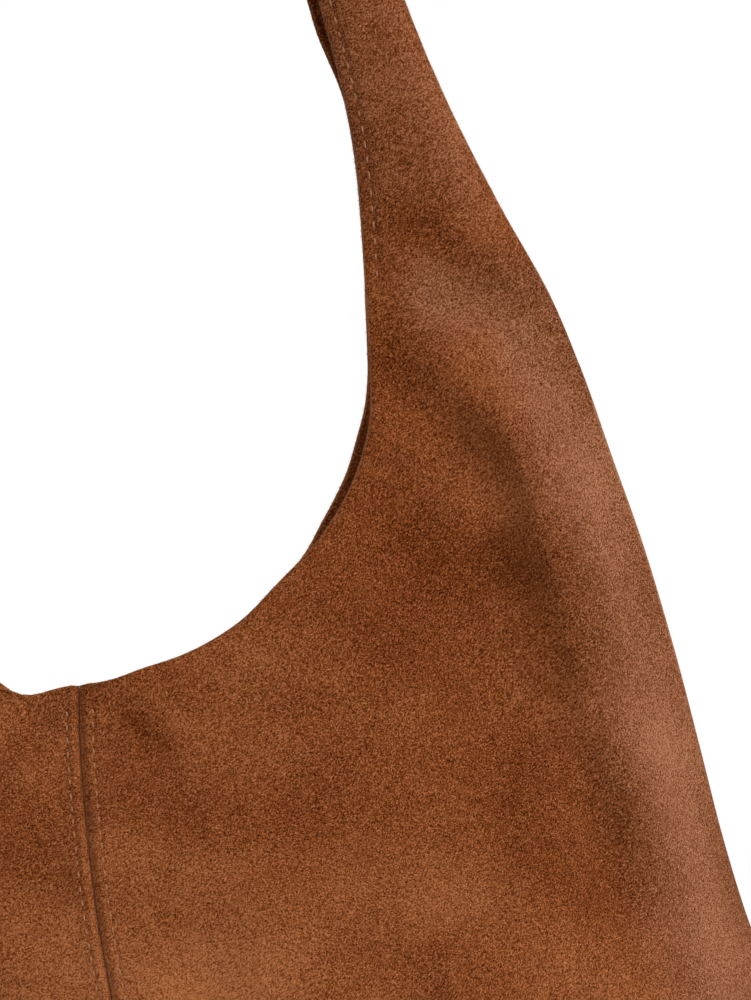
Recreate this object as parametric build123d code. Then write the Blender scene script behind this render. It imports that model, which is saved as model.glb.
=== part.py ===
"""Slouchy suede hobo bag, in millimetres.

X runs across the bag, Y from front (-Y) to back (+Y), Z up. The origin is the middle of the base's underside.
Four suede quarters form the shell and run up into a one-piece shoulder strap. A facing, a lining, two pockets
and a magnetic closure sit inside. The strap can fold over at its roots, the closure pulls apart, and the
zipped pocket's slider runs along its chain.
"""
from build123d import *
import os

os.makedirs("parts", exist_ok=True)

# Overall shape
BODY_TOP = 360.0  # height where the strap's flex zone starts
FLEX_TOP = 382.0  # height where the strap proper starts
MOUTH_LOW = 265.0  # lowest point of the mouth's rim
# (height, half width, half depth) of the shell, from the base up
STATIONS = (
    (0.0, 158.0, 56.0),
    (20.0, 188.0, 63.0),
    (55.0, 217.0, 69.0),
    (105.0, 231.0, 69.0),
    (166.0, 220.0, 57.0),
    (215.0, 203.0, 40.0),
    (262.0, 190.0, 25.0),
    (310.0, 175.0, 17.0),
    (366.0, 156.0, 10.0),
)
SECTION_SHARES = (-1.0, -0.93, -0.75, -0.4, 0.0, 0.4, 0.75, 0.93, 1.0)
BULGE = 0.7  # under 1 fills a section's sides out
TIP_INSET = 2.0  # inset at a section's pointed ends, times the wall's own

# Layers, as insets from the outside of the shell
PANEL = 2.0  # suede of the shell
FACING_BACK = 2.7  # face of the facing towards the suede
FACING = 3.8  # inner face of the facing round the mouth
LINING = 4.8  # inner face of the lining
FACING_WIDTH = 44.0
LINING_LAP = 8.0  # lining over the facing's lower edge
BOARD = 2.0  # stiffener in the base

# Mouth rim and strap edges, right half, (x, z)
RIM = (
    (0.0, MOUTH_LOW),
    (15.0, 267.5),
    (34.0, 275.0),
    (50.0, 284.5),
    (63.0, 298.0),
    (73.5, 311.5),
    (82.0, 328.0),
    (87.5, 345.0),
    (89.5, BODY_TOP),
    (89.5, 372.0),
)
MOUTH_CENTRE = (0.0, 345.0)
STRAP_INNER = (
    (89.5, BODY_TOP),
    (89.0, 392.0),
    (85.5, 432.0),
    (77.5, 463.0),
    (64.0, 506.0),
    (52.0, 538.0),
    (39.5, 559.0),
    (27.5, 570.5),
    (14.0, 576.0),
    (0.0, 577.0),
)
STRAP_OUTER = (
    (158.0, BODY_TOP),
    (143.0, 392.0),
    (122.0, 432.0),
    (107.5, 463.0),
    (91.0, 506.0),
    (79.0, 538.0),
    (65.0, 566.0),
    (47.0, 587.0),
    (25.0, 600.0),
    (0.0, 604.0),
)
STRAP_LAYER = 3.0  # thickness of each side of the strap
WEBBING = 1.6  # thickness of the tape between them
WEBBING_WIDTH = 14.0
LAYER_GAP = 0.1

# Magnetic closure, on the centre line
SNAP_Z = 240.0
SNAP_FACE = -19.5  # Y where the two halves meet
SNAP_RADIUS = 9.0
SOCKET_HOLE = 3.0
STUD_RADIUS = 2.6
STUD_LENGTH = 2.0
STUD_DISC = 1.5
WASHER = 0.6
TAB_HALF_WIDTH = 14.0
TAB_THICKNESS = 1.8
TAB_TOP = 256.0
TAB_END_LOW = 224.0
TAB_ROOT_LOW = 244.0

# Zipped pocket in the back lining; the zip lies in a plane that leans with the wall
ZIP_Z = 206.0
ZIP_Y = 31.0
ZIP_LEAN = 17.0  # degrees from upright
WELT = (186.0, 26.0, 1.2)  # length, height, thickness
ZIP_WINDOW = (152.0, 9.0)
TAPE_HALF = 80.0  # half length of the tapes
CHAIN_HALF = 70.0  # half length of the chain
TOOTH_PITCH = 3.0
TOOTH_GAP = 1.2  # between the two rows of teeth
SLIDER_REST = -60.0
SLIDER_LENGTH = 9.0
SLIDER_HALF_WIDTH = 4.0
PULL_LENGTH = 30.0
PIVOT_HEIGHT = 3.0  # pull's pivot above the zip plane
POCKET_HALF_WIDTH = 85.0
POCKET_LOW = 105.0
POCKET_HIGH = 219.0
SLIP_HALF_WIDTH = 70.0
SLIP_LOW = 120.0
SLIP_HIGH = 196.0

FAR = 400.0  # larger than any half of the bag


def block(x, y, z):
    """Box from (low, high) pairs along each axis."""
    centre = ((x[0] + x[1]) / 2, (y[0] + y[1]) / 2, (z[0] + z[1]) / 2)
    return Pos(*centre) * Box(x[1] - x[0], y[1] - y[0], z[1] - z[0])


def section(z, half_width, half_depth):
    """Pointed oval across the bag at height z."""
    front = [(half_width * s, -half_depth * (1 - s * s) ** BULGE) for s in SECTION_SHARES]
    back = [(x, -y) for x, y in reversed(front)]
    return Plane.XY.offset(z) * make_face(Spline(*front) + Spline(*back))


def hull(inset, floor=0.0):
    """The shell's outer form, taken in by inset, above the height floor."""
    faces = [section(z, w - TIP_INSET * inset, d - inset) for z, w, d in STATIONS]
    return loft(faces) & block((-FAR, FAR), (-FAR, FAR), (floor, BODY_TOP))


def upright(face, y_low, y_high):
    """Extrude a face drawn on XZ so that it fills y_low to y_high."""
    return Pos(0, y_high, 0) * extrude(Plane.XZ * face, y_high - y_low)


def mouth_cut(margin=0.0):
    """Everything above the mouth's rim, or above a line margin outside it."""
    right = []
    for x, z in RIM:
        reach = ((x - MOUTH_CENTRE[0]) ** 2 + (z - MOUTH_CENTRE[1]) ** 2) ** 0.5
        share = margin / reach
        right.append((x + share * (x - MOUTH_CENTRE[0]), z + share * (z - MOUTH_CENTRE[1])))
    left = [(-x, z) for x, z in reversed(right[1:])]
    end_x = right[-1][0]
    top = Polyline(right[-1], (end_x, FAR), (-end_x, FAR), left[0])
    return upright(make_face(Spline(*left, *right) + top), -FAR, FAR)


def above(z):
    """Everything above the height z."""
    return block((-FAR, FAR), (-FAR, FAR), (z, 2 * FAR))


def strap_face():
    """Right half of the strap and its root, seen from the front."""
    inner = Spline(*STRAP_INNER, tangents=((0, 1), (-1, 0)))
    outer = Spline(*STRAP_OUTER, tangents=((-0.4, 1), (-1, 0)))
    ends = Line(inner @ 0, outer @ 0) + Line(inner @ 1, outer @ 1)
    return make_face(inner + outer + ends)


def webbing_face():
    """The tape along the middle of the strap, seen from the front."""
    pairs = zip(STRAP_INNER, STRAP_OUTER)
    right = [((a + c) / 2, (b + d) / 2) for (a, b), (c, d) in pairs]
    left = [(-x, z) for x, z in reversed(right[:-1])]
    return trace(Spline(*right, *left), WEBBING_WIDTH)


def write(name, shape):
    """Write one sub-part."""
    shape.label = name
    export_step(shape, f"parts/{name}.step")


def write_pair(name, right):
    """Write a right-hand sub-part and its mirror image."""
    write(f"{name}_right", right)
    write(f"{name}_left", mirror(right, about=Plane.YZ))


# Shell
outer = hull(0.0)
behind_panel = hull(PANEL)
mouth = mouth_cut()
base_slab = block((-FAR, FAR), (-FAR, FAR), (0.0, PANEL))
front_right = block((0.0, FAR), (-FAR, 0.0), (PANEL, BODY_TOP))
front_panel = (outer & front_right) - behind_panel - mouth
write_pair("front_panel", front_panel)
write_pair("back_panel", mirror(front_panel, about=Plane.XZ))
write("base_panel", outer & base_slab)
board_face = section(PANEL, STATIONS[0][1] - 14.0, STATIONS[0][2] - 8.0)
write("base_board", extrude(board_face, BOARD))

# Facing and lining
front_half = block((-FAR, FAR), (-FAR, 0.0), (PANEL, BODY_TOP))
facing = (((hull(FACING_BACK) & front_half) - hull(FACING)) & mouth_cut(FACING_WIDTH)) - mouth
write("facing_front", facing)
write("facing_back", mirror(facing, about=Plane.XZ))
lining_floor = PANEL + BOARD + 0.2
lined = hull(FACING, lining_floor)
inside = hull(LINING, lining_floor + 1.0)
lining_front = ((lined & front_half) - inside) - mouth_cut(FACING_WIDTH - LINING_LAP)
write("lining_front", lining_front)

# Zipped pocket, in its own leaning plane: u along the zip, v up the wall, n into the bag
zip_plane = Plane(origin=(0, ZIP_Y, ZIP_Z), x_dir=(1, 0, 0), z_dir=(0, -1, 0)).rotated((ZIP_LEAN, 0, 0))


def zip_block(u, v, n):
    """Box in the zip's own plane."""
    return zip_plane * block(u, v, n)


window = zip_block(
    (-ZIP_WINDOW[0] / 2, ZIP_WINDOW[0] / 2),
    (-ZIP_WINDOW[1] / 2, ZIP_WINDOW[1] / 2),
    (-30.0, 6.0),
)
write("lining_back", mirror(lining_front, about=Plane.XZ) - window)
welt = zip_block((-WELT[0] / 2, WELT[0] / 2), (-WELT[1] / 2, WELT[1] / 2), (0.0, WELT[2]))
write("zip_welt", welt - window)
upper_tape = zip_block((-TAPE_HALF, TAPE_HALF), (2.0, 11.0), (-0.9, -0.1))
lower_tape = zip_block((-TAPE_HALF, TAPE_HALF), (-11.0, -2.0), (-0.9, -0.1))
write("zip_tape_upper", upper_tape)
write("zip_tape_lower", lower_tape)


def tooth_row(side):
    """One row of teeth on its bead: side is 1 for the upper row and -1 for the lower."""
    near = TOOTH_GAP / 2
    bead_v = sorted((side * 1.3, side * 2.0))
    row = block((-CHAIN_HALF, CHAIN_HALF), bead_v, (-0.8, 0.6))
    count = int(2 * CHAIN_HALF / TOOTH_PITCH)
    shift = 0.25 * TOOTH_PITCH * side
    for i in range(count):
        u = -CHAIN_HALF + TOOTH_PITCH * (i + 0.5) + shift
        row += block((u - 0.7, u + 0.7), sorted((side * near, side * 1.4)), (-1.0, 0.8))
    return zip_plane * row


write("zip_teeth_upper", tooth_row(1))
write("zip_teeth_lower", tooth_row(-1))
stop = block((CHAIN_HALF + 0.1, CHAIN_HALF + 2.5), (-2.0, 2.0), (-1.0, 0.9))
write("zip_stops", Compound(children=[zip_plane * stop, zip_plane * mirror(stop, about=Plane.YZ)]))

# Slider and pull
su = SLIDER_REST
half = SLIDER_LENGTH / 2
wide = SLIDER_HALF_WIDTH
slider = block((su - half, su + half), (-wide, wide), (1.1, 2.0))
slider += block((su - half, su + half), (-wide, wide), (-2.6, -1.6))
slider += block((su - half + 1.0, su + half - 1.0), (-0.4, 0.4), (-2.6, 2.0))
for side in (1, -1):
    flange = sorted((side * 3.2, side * wide))
    slider += block((su - half, su + half), flange, (0.2, 2.0))
    slider += block((su + side * 2.5 - 0.5, su + side * 2.5 + 0.5), (-1.1, 1.1), (2.0, 4.6))
slider += block((su - 3.0, su + 3.0), (-1.1, 1.1), (3.8, 4.6))
write("zip_slider", zip_plane * slider)
pivot = (su, 0.0, PIVOT_HEIGHT)
pull = Pos(*pivot) * Rot(90, 0, 0) * Cylinder(0.55, 5.6)
for side in (1, -1):
    arm = sorted((side * 1.8, side * 2.8))
    pull += block((su, su + 6.0), arm, (PIVOT_HEIGHT - 0.55, PIVOT_HEIGHT + 0.55))
grip_face = Pos(su + 5.0 + PULL_LENGTH / 2, 0) * RectangleRounded(PULL_LENGTH, 7.0, 2.5)
grip = extrude(Plane.XY.offset(PIVOT_HEIGHT - 0.55) * grip_face, 1.1)
pull += grip
write("zip_pull", zip_plane * pull)

# Pocket bags
pocket_box = block((-POCKET_HALF_WIDTH, POCKET_HALF_WIDTH), (0.0, FAR), (POCKET_LOW, POCKET_HIGH))
write("zip_pocket_bag", (hull(PANEL + 0.2) & pocket_box) - hull(FACING - 0.2))
slip_box = block((-SLIP_HALF_WIDTH, SLIP_HALF_WIDTH), (-FAR, 0.0), (SLIP_LOW, SLIP_HIGH))
slip_room = block((2 - SLIP_HALF_WIDTH, SLIP_HALF_WIDTH - 2), (-FAR, 0.0), (SLIP_LOW + 2, FAR))
slip_pocket = (inside & slip_box) - hull(LINING + 2.4)
write("slip_pocket", slip_pocket - ((inside & slip_room) - hull(LINING + 1.4)))


# Magnetic closure
def disc(radius, y_low, y_high):
    """Round piece on the closure's axis."""
    return Pos(0, (y_low + y_high) / 2, SNAP_Z) * Rot(90, 0, 0) * Cylinder(radius, y_high - y_low)


facing_inside = hull(FACING, PANEL)
socket = facing_inside & disc(SNAP_RADIUS, -FAR, SNAP_FACE - 0.05)
write("snap_socket", socket - disc(SOCKET_HOLE, SNAP_FACE - STUD_LENGTH - 0.3, 0.0))
behind_facing = (behind_panel & disc(SNAP_RADIUS, -FAR, 0.0)) - hull(PANEL + WASHER)
write("snap_socket_washer", behind_facing)
tab_y = SNAP_FACE + STUD_DISC
stud = disc(SNAP_RADIUS, SNAP_FACE, tab_y) + disc(STUD_RADIUS, SNAP_FACE - STUD_LENGTH, SNAP_FACE)
write("snap_stud", stud)
tab_length = TAB_TOP - TAB_END_LOW
tab_face = Pos(0, TAB_TOP - tab_length / 2) * RectangleRounded(2 * TAB_HALF_WIDTH, tab_length, 5.0)
washer_y = tab_y + TAB_THICKNESS
write("closure_tab", upright(tab_face, tab_y, washer_y))
write("snap_stud_washer", disc(SNAP_RADIUS, washer_y, washer_y + WASHER))
root_box = block((-TAB_HALF_WIDTH, TAB_HALF_WIDTH), (0.0, FAR), (TAB_ROOT_LOW, TAB_TOP))
write("closure_tab_root", (facing_inside & root_box) - hull(FACING + TAB_THICKNESS))
bridge_z = (TAB_TOP - TAB_THICKNESS, TAB_TOP)
bridge_x = (5.0 - TAB_HALF_WIDTH, TAB_HALF_WIDTH - 5.0)
bridge = block(bridge_x, (washer_y, FAR), bridge_z) & hull(FACING + TAB_THICKNESS)
write("closure_tab_bridge", bridge)

# Strap: two suede layers each side with a tape between them, and the soft roots that fold
web_half = WEBBING / 2
layer_low = web_half + LAYER_GAP
layer_high = layer_low + STRAP_LAYER
arm = upright(strap_face(), -layer_high, -layer_low) & above(FLEX_TOP)
write_pair("strap_front", arm)
write_pair("strap_back", mirror(arm, about=Plane.XZ))
write("strap_webbing", upright(webbing_face(), -web_half, web_half) & above(FLEX_TOP))
write_pair("strap_root", upright(strap_face(), -layer_high, layer_high) - above(FLEX_TOP))
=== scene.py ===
"""Looks for the suede hobo bag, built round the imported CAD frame. Lengths in the script are millimetres."""
import math

import bmesh
import bpy
import numpy as np
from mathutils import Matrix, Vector


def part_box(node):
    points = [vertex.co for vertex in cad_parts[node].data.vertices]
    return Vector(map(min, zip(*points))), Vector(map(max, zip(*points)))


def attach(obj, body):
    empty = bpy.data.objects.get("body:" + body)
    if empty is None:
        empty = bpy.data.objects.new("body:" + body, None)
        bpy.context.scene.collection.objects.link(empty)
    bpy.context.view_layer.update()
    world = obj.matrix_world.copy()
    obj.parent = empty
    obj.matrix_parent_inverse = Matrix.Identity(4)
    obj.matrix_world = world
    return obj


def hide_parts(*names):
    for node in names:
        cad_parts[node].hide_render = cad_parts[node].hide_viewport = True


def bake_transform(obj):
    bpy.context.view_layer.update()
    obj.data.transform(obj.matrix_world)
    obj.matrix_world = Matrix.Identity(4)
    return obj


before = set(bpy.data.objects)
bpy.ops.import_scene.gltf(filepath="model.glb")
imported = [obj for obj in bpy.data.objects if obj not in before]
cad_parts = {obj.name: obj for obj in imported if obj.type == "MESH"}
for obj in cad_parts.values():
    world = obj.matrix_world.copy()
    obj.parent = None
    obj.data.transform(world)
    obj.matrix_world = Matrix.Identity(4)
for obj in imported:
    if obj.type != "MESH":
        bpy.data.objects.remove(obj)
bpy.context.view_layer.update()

MM = 0.001
rng = np.random.default_rng(7)

# -------- shape of the bag, as in the CAD
# half the body's depth at its middle, (z, y)
DEPTHS = (
    (0, 56), (20, 63), (55, 69), (105, 69), (166, 57), (215, 40), (262, 25), (310, 17), (366, 10),
)
# right half of the mouth's rim and of the strap's two sides, (x, z)
RIM = (
    (0, 265), (15, 267.5), (34, 275), (50, 284.5), (63.6, 298), (76.2, 311.5), (86.2, 328), (91.2, 345),
    (92.2, 360),
)
STRAP_INNER = (
    (90.6, 392), (87.1, 432), (80.4, 463), (67.5, 506), (54.5, 538), (40.5, 559), (27.5, 570.5), (14, 576),
    (0, 577),
)
STRAP_FOOT = (392, 432)  # heights on the outline of the strap's outer side, before its own points
STRAP_OUTER = (
    (110, 463), (93.2, 506), (80.2, 538), (65.4, 566), (47, 587), (25, 600), (0, 604),
)
# outline of the body and strap as sewn, (z, x)
OUTLINE = (
    (2, 160), (20, 188), (55, 217), (105, 231), (166, 221.6), (192, 212), (213, 205.6), (244, 197.6),
    (275, 189.4), (307, 179.8), (338, 168.8), (360, 161), (385, 150.4), (416, 133.1), (447, 117.2),
    (463, 110),
)
BODY_TOP = 360.0  # where the body's rim gives way to the strap's inner side
STRAP_BEND = OUTLINE[-1][0]  # above this the strap's outer side follows its own points
BULGE = 0.7  # power that gives the body's cross-section its pointed oval
STRAP_HALF = 3.9  # half the strap's whole thickness
STRAP_EDGE = 1.9  # half its thickness at its sides
SHELL = 1.9  # thickness of the suede
STRAP_SKIN = 2.7  # thickness of one of the strap's two layers
BACK_RIM_DROP = 2.8  # how much lower the back's rim sags than the front's
FACING_IN = 2.5  # the facing's and the lining's outer sides, in from the shell's outside
LINING_IN = 3.9
ZIP_MIDDLE = (31.0, 206.0)  # (y, z) of the zip's middle
ZIP_SLOPE = 0.306  # how far the zip leans in for each unit up
# the centre seam of the front drifts to the side lower down, (z, x)
SEAM_DRIFT = (
    (2, 7), (40, 11), (75, 14.5), (110, 15.5), (140, 14), (166, 11.3), (182, 8.4), (197, 5.4), (219, 2.4),
    (241, 0.7), (265, 0),
)


def hermite(knots, values, at):
    """Smooth curve through (knots, values), read at the given places."""
    k = np.asarray(knots, float)
    v = np.asarray(values, float)
    at = np.clip(np.asarray(at, float), k[0], k[-1])
    step = np.diff(k)
    slope = np.diff(v) / step
    inner = (slope[:-1] * step[1:] + slope[1:] * step[:-1]) / (step[:-1] + step[1:])
    m = np.concatenate([slope[:1], inner, slope[-1:]])
    i = np.clip(np.searchsorted(k, at) - 1, 0, len(k) - 2)
    t = (at - k[i]) / step[i]
    h = step[i]
    return (
        (1 + 2 * t) * (1 - t) ** 2 * v[i] + t * (1 - t) ** 2 * h * m[i]
        + t * t * (3 - 2 * t) * v[i + 1] + t * t * (t - 1) * h * m[i + 1]
    )


def curve(points, at):
    """Smooth curve through (place, value) points, read at the given places."""
    return hermite(*np.transpose(points), at)


def smooth(a, b, x):
    """0 before a, 1 after b, smooth between."""
    t = np.clip((x - a) / (b - a), 0.0, 1.0)
    return t * t * (3 - 2 * t)


def outline_x(z):
    return curve(OUTLINE, z)


def seam_x(z, front):
    """Place of the centre seam; the back's strays less, to the other side."""
    drift = curve(SEAM_DRIFT, z)
    return drift if front else -0.35 * drift


# -------- folds
def along(x, z, points):
    """For each (x, z): how far along a smooth line it lies (0 to 1) and its signed distance from it."""
    p = np.asarray(points, float)
    t = np.linspace(0, 1, len(p))
    fine = np.linspace(0, 1, 8 * (len(p) - 1) + 1)
    line = np.stack([hermite(t, p[:, 0], fine), hermite(t, p[:, 1], fine)], 1)
    best = np.full(x.shape, 1e9)
    side = np.zeros(x.shape)
    place = np.zeros(x.shape)
    for i in range(len(line) - 1):
        a, b = line[i], line[i + 1]
        d = b - a
        s = np.clip(((x - a[0]) * d[0] + (z - a[1]) * d[1]) / (d @ d), 0, 1)
        ex, ez = x - a[0] - s * d[0], z - a[1] - s * d[1]
        r = np.hypot(ex, ez)
        near = r < best
        best = np.where(near, r, best)
        side = np.where(near, np.sign(d[0] * ez - d[1] * ex), side)
        place = np.where(near, (i + s) / (len(line) - 1), place)
    return place, best * side


def fold(x, z, points, height, left, right, lead=0.2):
    """A soft ridge (or valley, if height is negative) along a line, with its own width on each side."""
    place, d = along(x, z, points)
    width = np.where(d > 0, left, right)
    ends = smooth(0, lead, place) * (1 - smooth(1 - lead, 1, place))
    return height * ends * np.exp(-((np.abs(d) / width) ** 2))


def dent(x, z, cx, cz, rx, rz, turn, height):
    """A rounded hollow or swelling."""
    c, s = math.cos(math.radians(turn)), math.sin(math.radians(turn))
    u = ((x - cx) * c + (z - cz) * s) / rx
    v = (-(x - cx) * s + (z - cz) * c) / rz
    return height * np.exp(-(u * u + v * v))


def dents(x, z, spots):
    """Sum of rounded hollows and swellings, each (x, z, radius across, radius up, turn, height)."""
    total = np.zeros(x.shape)
    for spot in spots:
        total += dent(x, z, *spot)
    return total


# (line, height, width on its left, width on its right); heights are out of the bag
FRONT_RIGHT_FOLDS = (
    (((106, 398), (111, 378), (121, 360), (134, 346), (143, 330), (146, 312), (155, 297), (161, 280),
      (166, 262), (172, 244), (178, 222), (182, 195), (188, 150)), 6.2, 21, 13),
    (((95, 425), (106, 411), (121, 398), (136, 386)), -1.9, 6, 7),
    (((88, 377), (103, 357), (121, 343), (133, 325), (141, 300), (143, 280)), -3.2, 11, 12),
    (((92, 346), (100, 324), (110, 304), (120, 280), (130, 252), (142, 222)), -3.6, 20, 20),
    (((125, 312), (133, 300), (146, 288)), -1.8, 9, 9),
    (((9, 262), (19, 250), (33, 236)), -1.7, 5, 5),
    (((30, 258), (52, 248), (80, 246), (110, 256)), 1.3, 12, 14),
    (((40, 236), (70, 222), (105, 222), (140, 238)), -1.6, 12, 14),
    (((150, 250), (160, 230), (168, 205), (170, 180)), -1.8, 10, 10),
    (((35, 205), (62, 186), (100, 180), (140, 196), (168, 225)), 2.6, 13, 17),
    (((92, 180), (100, 172), (112, 150)), -2.2, 10, 12),
    (((20, 168), (60, 146), (110, 140), (158, 158), (192, 192)), -2.6, 12, 14),
    (((14, 140), (58, 118), (112, 112), (168, 130), (204, 160)), 3.4, 14, 18),
    (((26, 98), (70, 84), (125, 84), (182, 104)), -2.8, 12, 14),
    (((60, 62), (110, 52), (160, 60), (200, 84)), 2.6, 14, 16),
    (((110, 8), (128, 30), (150, 44), (180, 52)), -3.0, 9, 10),
    (((150, 14), (166, 34), (196, 58)), -2.2, 7, 8),
    (((30, 10), (38, 34), (44, 62)), -2.0, 9, 9),
    (((214, 86), (205, 112), (204, 142), (207, 170)), -2.4, 8, 9),
)
FRONT_LEFT_FOLDS = (
    (((-104, 402), (-112, 380), (-124, 360), (-135, 343), (-140, 318), (-150, 292), (-158, 262), (-170, 232),
      (-182, 200)), 4.2, 13, 17),
    (((-96, 432), (-108, 420), (-122, 408)), -1.6, 7, 6),
    (((-91, 372), (-106, 352), (-124, 332), (-134, 306)), -3.0, 12, 11),
    (((-9, 260), (-20, 247), (-38, 236)), -1.9, 5, 5),
    (((-36, 256), (-60, 246), (-92, 250), (-118, 266)), 1.4, 13, 12),
    (((-28, 228), (-62, 214), (-100, 216), (-138, 236)), -2.2, 14, 12),
    (((-20, 206), (-56, 190), (-104, 188), (-150, 210), (-176, 236)), 2.4, 16, 13),
    (((-10, 172), (-54, 158), (-104, 158), (-150, 174), (-186, 206)), -2.6, 14, 12),
    (((-4, 146), (-50, 128), (-104, 124), (-160, 140), (-200, 172)), 3.2, 18, 14),
    (((-10, 104), (-60, 92), (-118, 90), (-176, 108)), -3.0, 14, 12),
    (((-40, 66), (-96, 56), (-150, 62), (-196, 86)), 2.8, 16, 14),
    (((-96, 6), (-118, 28), (-148, 42), (-176, 50)), -3.2, 10, 9),
    (((-142, 12), (-160, 34), (-190, 62)), -2.2, 8, 7),
    (((-24, 8), (-30, 32), (-34, 58)), -2.0, 9, 9),
    (((-212, 92), (-203, 118), (-203, 146), (-206, 172)), -2.4, 9, 8),
)
BACK_FOLDS = (
    (((104, 400), (112, 378), (126, 356), (138, 336), (144, 306), (154, 276), (166, 240), (178, 205)),
     4.0, 16, 13),
    (((-106, 402), (-113, 378), (-123, 356), (-137, 334), (-146, 304), (-156, 272), (-170, 236)), 4.0, 13, 16),
    (((92, 376), (106, 352), (124, 334), (134, 308)), -2.8, 11, 12),
    (((-90, 370), (-104, 350), (-122, 330), (-130, 300)), -2.8, 12, 11),
    (((-130, 246), (-80, 222), (-20, 214), (50, 218), (110, 236), (140, 256)), -2.2, 14, 12),
    (((-160, 224), (-96, 194), (-20, 186), (60, 192), (124, 212), (166, 240)), 2.4, 15, 15),
    (((-184, 200), (-110, 164), (-24, 154), (66, 160), (138, 180), (188, 210)), -2.6, 13, 13),
    (((-200, 172), (-120, 134), (-20, 122), (76, 128), (150, 148), (202, 178)), 3.2, 17, 16),
    (((-176, 110), (-110, 92), (-20, 86), (70, 90), (136, 100), (180, 116)), -2.8, 13, 13),
    (((-190, 84), (-120, 60), (-30, 52), (60, 56), (140, 64), (196, 90)), 2.6, 15, 15),
    (((112, 8), (132, 32), (158, 46), (184, 54)), -3.0, 9, 10),
    (((-104, 8), (-126, 30), (-150, 44), (-180, 52)), -3.0, 10, 9),
    (((34, 8), (44, 34), (48, 60)), -2.0, 9, 9),
    (((-46, 8), (-40, 34), (-42, 60)), -2.0, 9, 9),
)
FRONT_SWELLINGS = ((60, 185, 60, 40, 0, 2.0), (-70, 120, 80, 40, 8, 2.0), (112, 302, 20, 34, -25, -1.6))
BACK_SWELLINGS = ((40, 150, 80, 40, 0, 1.6),)
SNAP_Z = 240.0  # height of the magnet, which pulls the front in


def undulation(x, z, seed, low, high, count):
    """Sum of waves in all directions, between two wavelengths; about -1 to 1."""
    waves = np.random.default_rng(seed)
    total = np.zeros(x.shape)
    for _ in range(count):
        length = waves.uniform(low, high)
        turn = waves.uniform(0, 2 * math.pi)
        phase = waves.uniform(0, 2 * math.pi)
        bend = waves.uniform(-0.9, 0.9)
        u = (x * math.cos(turn) + z * math.sin(turn)) / length
        v = (-x * math.sin(turn) + z * math.cos(turn)) / (2.3 * length)
        total += np.sin(2 * math.pi * u + phase + bend * np.sin(2 * math.pi * v))
    return total / math.sqrt(count) / 1.4


def relief(x, z, front):
    """How far the folded skin stands out from the plain form."""
    total = np.zeros(x.shape)
    for points, height, left, right in FRONT_RIGHT_FOLDS + FRONT_LEFT_FOLDS if front else BACK_FOLDS:
        total += fold(x, z, points, height, left, right)
    if front:
        from_snap = np.maximum(np.hypot(x, z - SNAP_Z - 1) - 10, 0)
        total -= 2.4 * np.exp(-((from_snap / 12) ** 2))
    total += dents(x, z, FRONT_SWELLINGS if front else BACK_SWELLINGS)
    seed = 11 if front else 23
    in_body = 1 - smooth(356, 392, z)
    total += 0.75 * undulation(x, z, seed, 28, 60, 9) * (0.35 + 0.65 * in_body)
    total += 0.16 * undulation(x, z, seed + 1, 9, 17, 12)
    return total


def depth(x, z, front, inset=0.0, across=0.5):
    """Distance of the skin from the middle plane; across is 0 at a panel's inner edge and 1 at its outer."""
    middle = np.maximum(curve(DEPTHS, z) - inset, 0.5)
    s = np.clip(np.abs(x) / (outline_x(z) - 2.0 * inset), 0, 1)
    folds = relief(x, z, front)
    # the folds die out towards the sides, the base and the strap
    calm = np.clip((1 - s * s) * 3.0, 0, 1) ** 0.7
    calm = calm * smooth(-4, 26, z) * (1 - 0.72 * smooth(352, 400, z))
    form = middle * np.maximum(1 - s * s, 0) ** BULGE + folds * calm
    edge = np.clip(np.minimum(across, 1 - across) * 2, 0, 1)
    flat = STRAP_EDGE + (STRAP_HALF - STRAP_EDGE - inset) * (1 - (1 - edge) ** 3.2)
    flat = flat + folds * 0.28 * edge
    share = smooth(340, 398, z)
    return np.maximum(form, 0) * (1 - share) + np.maximum(flat, 0.7) * share + 0.3 * (1 - share)


# -------- meshes
def make_mesh(name, verts, faces):
    """A smooth-shaded mesh object from millimetre points."""
    mesh = bpy.data.meshes.new(name)
    mesh.from_pydata((np.asarray(verts, float) * MM).tolist(), [], [tuple(int(i) for i in f) for f in faces])
    mesh.validate()
    mesh.shade_smooth()
    obj = bpy.data.objects.new(name, mesh)
    bpy.context.scene.collection.objects.link(obj)
    return obj


def set_attribute(obj, name, values):
    """A number for each point of a mesh, for its material to read."""
    attribute = obj.data.attributes.get(name) or obj.data.attributes.new(name, "FLOAT", "POINT")
    attribute.data.foreach_set("value", np.asarray(values, np.float32))


def points_of(obj):
    """A mesh's points in millimetres."""
    co = np.zeros(len(obj.data.vertices) * 3, np.float32)
    obj.data.vertices.foreach_get("co", co)
    return co.reshape(-1, 3) / MM


def unit(v):
    return v / np.maximum(np.linalg.norm(v, axis=-1, keepdims=True), 1e-9)


def square_to(v, n):
    """Unit vectors nearest to v that are square to the unit vectors n."""
    return unit(v - n * np.sum(v * n, -1, keepdims=True))


def outward_normals(p, outward):
    """Unit normals of a grid of points, rows by columns by 3, on the side that outward points to."""
    n = unit(np.cross(np.gradient(p, axis=1), np.gradient(p, axis=0)))
    return -n if np.sum(n * outward) < 0 else n


def ring_faces(count, rings):
    """Quads between neighbouring rings of count points each, with a cap on the first and the last."""
    faces = []
    for k in range(rings - 1):
        a = k * count + np.arange(count)
        faces += np.stack([a, np.roll(a, -1), np.roll(a, -1) + count, a + count], 1).tolist()
    return faces + [list(range(count)), list(range((rings - 1) * count, rings * count))]


EDGE_STEPS = 4  # facets round a sheet's edge


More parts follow.
